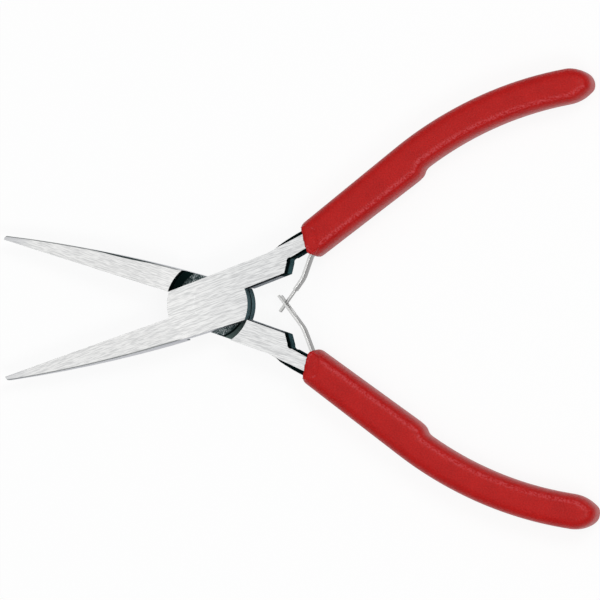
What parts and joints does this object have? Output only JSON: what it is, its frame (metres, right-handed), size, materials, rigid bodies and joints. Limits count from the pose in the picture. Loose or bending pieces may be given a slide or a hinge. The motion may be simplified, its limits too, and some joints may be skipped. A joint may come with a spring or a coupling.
{
  "type": "needle-nose pliers",
  "caption": "Slim needle-nose pliers with a lap joint, long tapered smooth jaws, interlocking flat leaf springs that open them and bowed handles in dipped vinyl sleeves.",
  "frame": {"origin": "on the pivot axis at the lower ground face of the joint", "axes": "+X from the jaw tips towards the handle ends, +Y across the tool in its plane, +Z along the pivot axis, from the lower ground face to the upper one"},
  "size_m": [0.1361, 0.1028, 0.0104],
  "materials": {
    "lever_steel": "ground bright on the flats, dark forged scale on the sides",
    "sleeve_vinyl": "satin, fine pebble",
    "spring_steel": "rolled strip"
  },
  "bodies": {
    "upper_half": {"lever_upper": "lever_steel", "sleeve_upper": "sleeve_vinyl", "leaf_rivet_upper": "spring_steel", "pivot_rivet": "lever_steel"},
    "lower_half": {"lever_lower": "lever_steel", "sleeve_lower": "sleeve_vinyl", "leaf_rivet_lower": "spring_steel"},
    "leaf_upper": {"leaf_spring_upper": "spring_steel"},
    "leaf_lower": {"leaf_spring_lower": "spring_steel"}
  },
  "joints": [
    {"name": "pivot", "type": "hinge", "parent": "upper_half", "child": "lower_half", "pos_m": [0, 0, 0], "axis": [0, 0, 1], "range_deg": [0, 35.66], "stiffness_Nm_per_rad": 0.6},
    {"name": "leaf_upper_flex", "type": "hinge", "parent": "upper_half", "child": "leaf_upper", "pos_m": [0.02292, 0.01071, 0.00425], "axis": [0, 0, 1], "range_deg": [-27, 0], "deforming": ["leaf_spring_upper"]},
    {"name": "leaf_lower_flex", "type": "hinge", "parent": "lower_half", "child": "leaf_lower", "pos_m": [0.02292, -0.01071, 0.00425], "axis": [0, 0, 1], "range_deg": [0, 27], "deforming": ["leaf_spring_lower"]}
  ],
  "couplings": [
    {"joint": "leaf_upper_flex", "follows": "pivot", "ratio": -0.756},
    {"joint": "leaf_lower_flex", "follows": "pivot", "ratio": 0.756}
  ]
}
